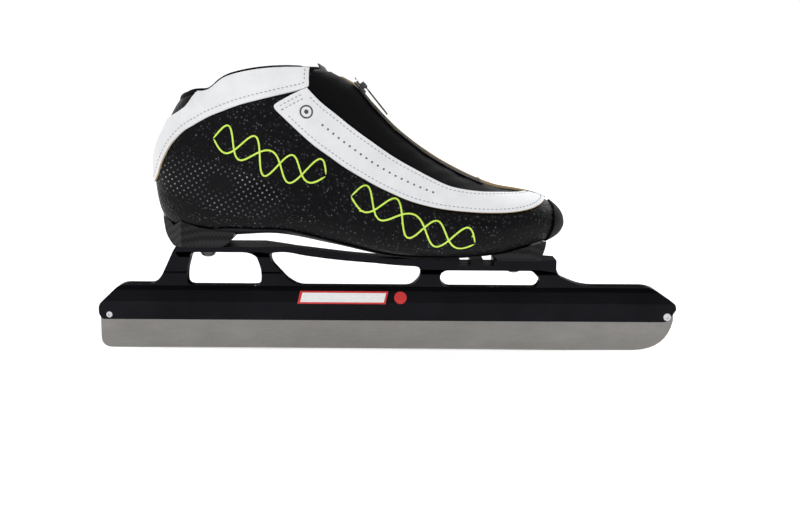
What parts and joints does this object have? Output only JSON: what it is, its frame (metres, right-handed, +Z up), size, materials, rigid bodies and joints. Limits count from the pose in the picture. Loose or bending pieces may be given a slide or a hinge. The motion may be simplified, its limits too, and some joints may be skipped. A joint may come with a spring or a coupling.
{
  "type": "speed skate",
  "caption": "Fixed-blade speed skate: low zip-covered leather boot on a carbon shell, bolted to a long windowed aluminium frame that grips a thin steel blade.",
  "frame": {"origin": "on the running edge at the middle of the blade, in the blade's mid-plane", "axes": "+X toward the toe, +Z up, +Y toward the inner (medial) side of this right skate"},
  "size_m": [0.4067, 0.0969, 0.1999],
  "materials": {
    "anodised": "black anodised milled aluminium, glossy",
    "steel": "ground steel, fine lengthwise brushing",
    "zinc": "bright zinc-plated steel",
    "carbon": "carbon fibre weave under clear resin",
    "black_leather": "black pebbled leather with a soft sheen",
    "cover_leather": "black smooth stretch leather, matt",
    "white_leather": "white smooth leather with a tan raw edge",
    "lining_fabric": "black padded lining cloth",
    "insole_foam": "dark cloth-covered foam footbed",
    "tongue_suede": "black padded cloth",
    "lace_cord": "black flat-woven cord",
    "zip_fabric": "black woven zip tape with coil teeth",
    "zip_metal": "dark nickel-plated metal"
  },
  "bodies": {
    "boot": {"heel_mount_block": "carbon", "heel_insert": "zinc", "heel_washer": "zinc", "heel_bolt": "zinc", "toe_mount_block": "carbon", "toe_insert": "zinc", "toe_washer": "zinc", "toe_bolt": "zinc", "outsole_plate": "carbon", "carbon_shell": "carbon", "leather_upper": "black_leather", "facing": "white_leather", "collar_band": "white_leather", "toe_bumper": "black_leather", "collar_padding": "lining_fabric", "lining": "lining_fabric", "insole": "insole_foam", "tongue": "tongue_suede", "lace": "lace_cord", "lace_cover": "cover_leather", "zip_tape": "zip_fabric", "zip_top_stop": "zip_metal", "zip_bottom_stop": "zip_metal"},
    "running_gear": {"frame": "anodised", "blade": "steel", "rear_blade_pin": "zinc", "front_blade_screw": "zinc"},
    "slider": {"zip_slider": "zip_metal"},
    "pull_tab": {"zip_pull": "zip_metal"}
  },
  "joints": [
    {"name": "frame_shift", "type": "slide", "parent": "boot", "child": "running_gear", "axis": [0, 1, 0], "range_m": [-0.004, 0.004]},
    {"name": "zip_travel", "type": "hinge", "parent": "boot", "child": "slider", "pos_m": [0.1352, 0, 0.3011], "axis": [0, -1, 0], "range_deg": [0, 28.5]},
    {"name": "pull_swing", "type": "hinge", "parent": "slider", "child": "pull_tab", "pos_m": [-0.01662, 0, 0.18669], "axis": [0, -1, 0], "range_deg": [0, 150]}
  ]
}
